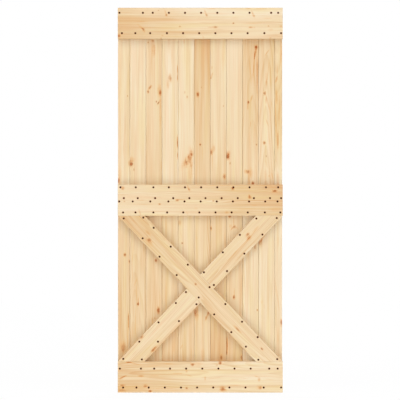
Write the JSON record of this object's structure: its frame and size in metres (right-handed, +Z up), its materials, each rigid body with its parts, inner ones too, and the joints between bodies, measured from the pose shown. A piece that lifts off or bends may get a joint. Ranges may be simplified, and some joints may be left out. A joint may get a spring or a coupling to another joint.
{
  "type": "sliding door leaf",
  "caption": "Barn-style sliding door leaf in unfinished pine: tongue-and-groove planks behind flush horizontal rails, with an X brace in the lower half.",
  "frame": {"origin": "centre of the top rail's front face, where the track hangers are bolted", "axes": "+X to the right seen from the front, +Y back through the leaf, +Z up"},
  "size_m": [0.9, 0.04, 2.1],
  "materials": {
    "planks": "matte",
    "rails": "matte",
    "braces": "matte",
    "screws": "satin"
  },
  "bodies": {
    "root": {"upper_plank_01": "planks", "upper_plank_02": "planks", "upper_plank_03": "planks", "upper_plank_04": "planks", "upper_plank_05": "planks", "upper_plank_06": "planks", "upper_plank_07": "planks", "upper_plank_08": "planks", "upper_plank_09": "planks", "upper_plank_10": "planks", "upper_plank_11": "planks", "lower_plank_01": "planks", "lower_plank_02": "planks", "lower_plank_03": "planks", "lower_plank_04": "planks", "lower_plank_05": "planks", "lower_plank_06": "planks", "lower_plank_07": "planks", "lower_plank_08": "planks", "lower_plank_09": "planks", "lower_plank_10": "planks", "lower_plank_11": "planks", "top_rail": "rails", "middle_rail": "rails", "bottom_rail": "rails", "long_brace": "braces", "upper_half_brace": "braces", "lower_half_brace": "braces"}
  },
  "joints": []
}
